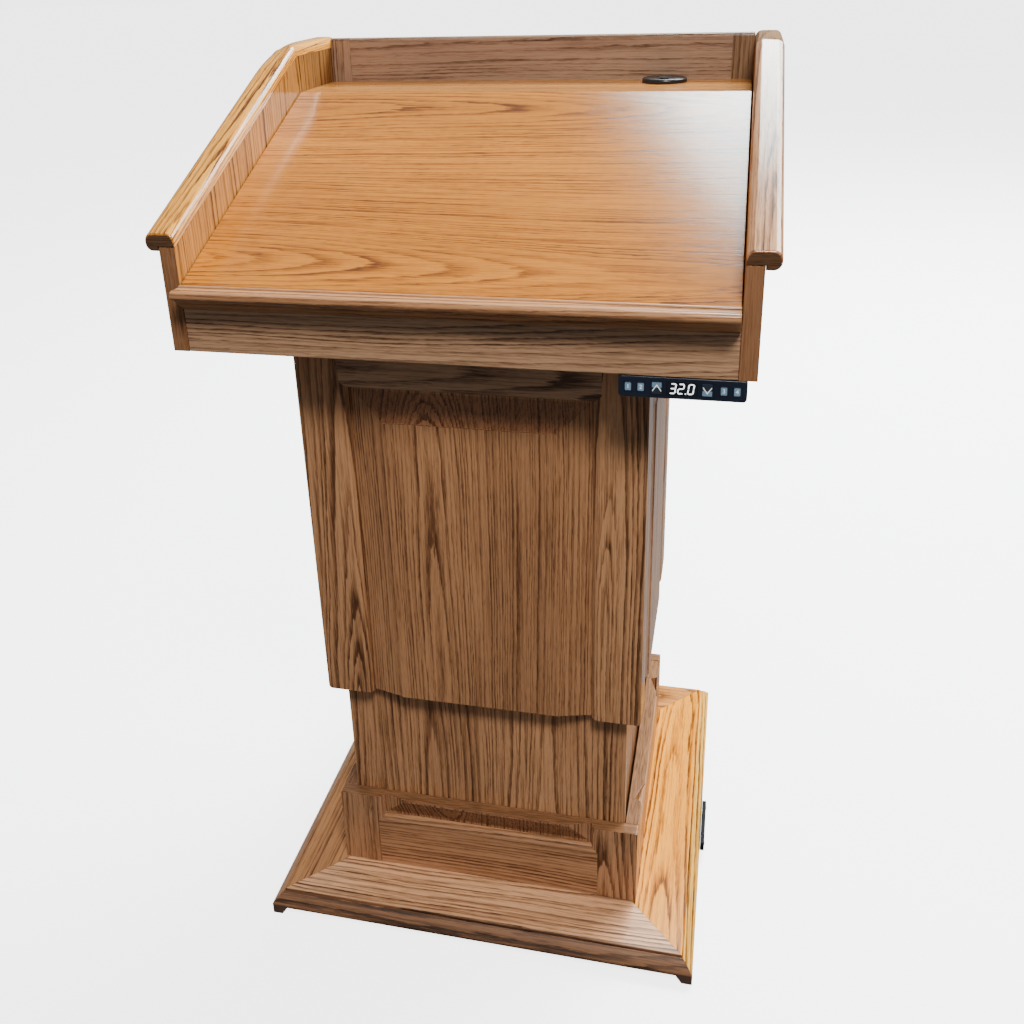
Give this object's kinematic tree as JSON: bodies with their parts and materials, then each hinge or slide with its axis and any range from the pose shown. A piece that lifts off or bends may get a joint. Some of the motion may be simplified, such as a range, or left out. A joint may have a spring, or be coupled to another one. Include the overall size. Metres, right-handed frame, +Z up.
{
  "type": "adjustable height lectern",
  "caption": "Free-standing oak lectern: a sloping desk with raised sides and a level cable shelf, on a panelled telescoping pedestal that an electric column raises and lowers.",
  "frame": {"origin": "on the floor, in the middle of the lectern's width and of the base's depth", "axes": "+Z up, -Y towards the speaker, +X to the speaker's right, where the keypad is"},
  "size_m": [0.693, 0.597, 1.1683],
  "materials": {
    "oak": "honey stain under satin varnish",
    "inner_oak": "plain, inside faces",
    "grey_steel": "grey powder coat",
    "black_plastic": "fine satin",
    "brown_plastic": "matt",
    "navy_plastic": "satin to gloss",
    "key_plastic": "matt film",
    "dark_window": "polished, lit digits behind it"
  },
  "bodies": {
    "base": {"base_front_board": "oak", "base_rear_board": "oak", "base_left_board": "oak", "base_right_board": "oak", "base_deck": "inner_oak", "foot_front_left": "brown_plastic", "foot_front_right": "brown_plastic", "foot_rear_left": "brown_plastic", "foot_rear_right": "brown_plastic", "power_inlet": "black_plastic", "lower_front_frame": "oak", "lower_front_panel": "oak", "lower_rear_frame": "oak", "lower_rear_panel": "oak", "lower_left_frame": "oak", "lower_left_panel": "oak", "lower_right_frame": "oak", "lower_right_panel": "oak", "sleeve_front": "oak", "sleeve_rear": "oak", "sleeve_left": "oak", "sleeve_right": "oak", "column_foot_plate": "grey_steel", "column_outer_tube": "grey_steel"},
    "column_middle": {"column_middle_tube": "grey_steel"},
    "desk": {"column_inner_tube": "grey_steel", "spindle": "grey_steel", "gear_motor": "black_plastic", "column_head_plate": "grey_steel", "upper_front_frame": "oak", "upper_front_panel": "oak", "upper_rear_frame": "oak", "upper_rear_panel": "oak", "upper_left_frame": "oak", "upper_left_panel": "oak", "upper_right_frame": "oak", "upper_right_panel": "oak", "apron": "oak", "left_side_panel": "oak", "right_side_panel": "oak", "left_cap_rail": "oak", "right_cap_rail": "oak", "back_panel": "oak", "back_left_stile": "oak", "back_right_stile": "oak", "reading_surface": "oak", "shelf": "oak", "nosing": "oak", "desk_floor": "inner_oak", "control_box": "black_plastic", "grommet_ring": "black_plastic", "keypad_housing": "navy_plastic", "display_window": "dark_window"},
    "grommet_cap_body": {"grommet_cap": "black_plastic"},
    "key_1_body": {"key_1": "key_plastic"},
    "key_2_body": {"key_2": "key_plastic"},
    "key_up_body": {"key_up": "key_plastic"},
    "key_down_body": {"key_down": "key_plastic"},
    "key_3_body": {"key_3": "key_plastic"},
    "key_4_body": {"key_4": "key_plastic"}
  },
  "joints": [
    {"name": "height_lift", "type": "slide", "parent": "base", "child": "desk", "axis": [0, 0, 1], "range_m": [-0.18, 0.26]},
    {"name": "column_middle_lift", "type": "slide", "parent": "base", "child": "column_middle", "axis": [0, 0, 1], "range_m": [-0.09, 0.13]},
    {"name": "grommet_turn", "type": "hinge", "parent": "desk", "child": "grommet_cap_body", "pos_m": [0.191, 0.2235, 1.1098], "axis": [0, 0, 1], "continuous": true},
    {"name": "key_1_press", "type": "slide", "parent": "desk", "child": "key_1_body", "axis": [0, 1, 0], "range_m": [0, 0.0006], "stiffness_N_per_m": 300, "springref_m": -0.002},
    {"name": "key_2_press", "type": "slide", "parent": "desk", "child": "key_2_body", "axis": [0, 1, 0], "range_m": [0, 0.0006], "stiffness_N_per_m": 300, "springref_m": -0.002},
    {"name": "key_up_press", "type": "slide", "parent": "desk", "child": "key_up_body", "axis": [0, 1, 0], "range_m": [0, 0.0006], "stiffness_N_per_m": 300, "springref_m": -0.002},
    {"name": "key_down_press", "type": "slide", "parent": "desk", "child": "key_down_body", "axis": [0, 1, 0], "range_m": [0, 0.0006], "stiffness_N_per_m": 300, "springref_m": -0.002},
    {"name": "key_3_press", "type": "slide", "parent": "desk", "child": "key_3_body", "axis": [0, 1, 0], "range_m": [0, 0.0006], "stiffness_N_per_m": 300, "springref_m": -0.002},
    {"name": "key_4_press", "type": "slide", "parent": "desk", "child": "key_4_body", "axis": [0, 1, 0], "range_m": [0, 0.0006], "stiffness_N_per_m": 300, "springref_m": -0.002}
  ],
  "couplings": [
    {"joint": "column_middle_lift", "follows": "height_lift", "ratio": 0.5}
  ]
}
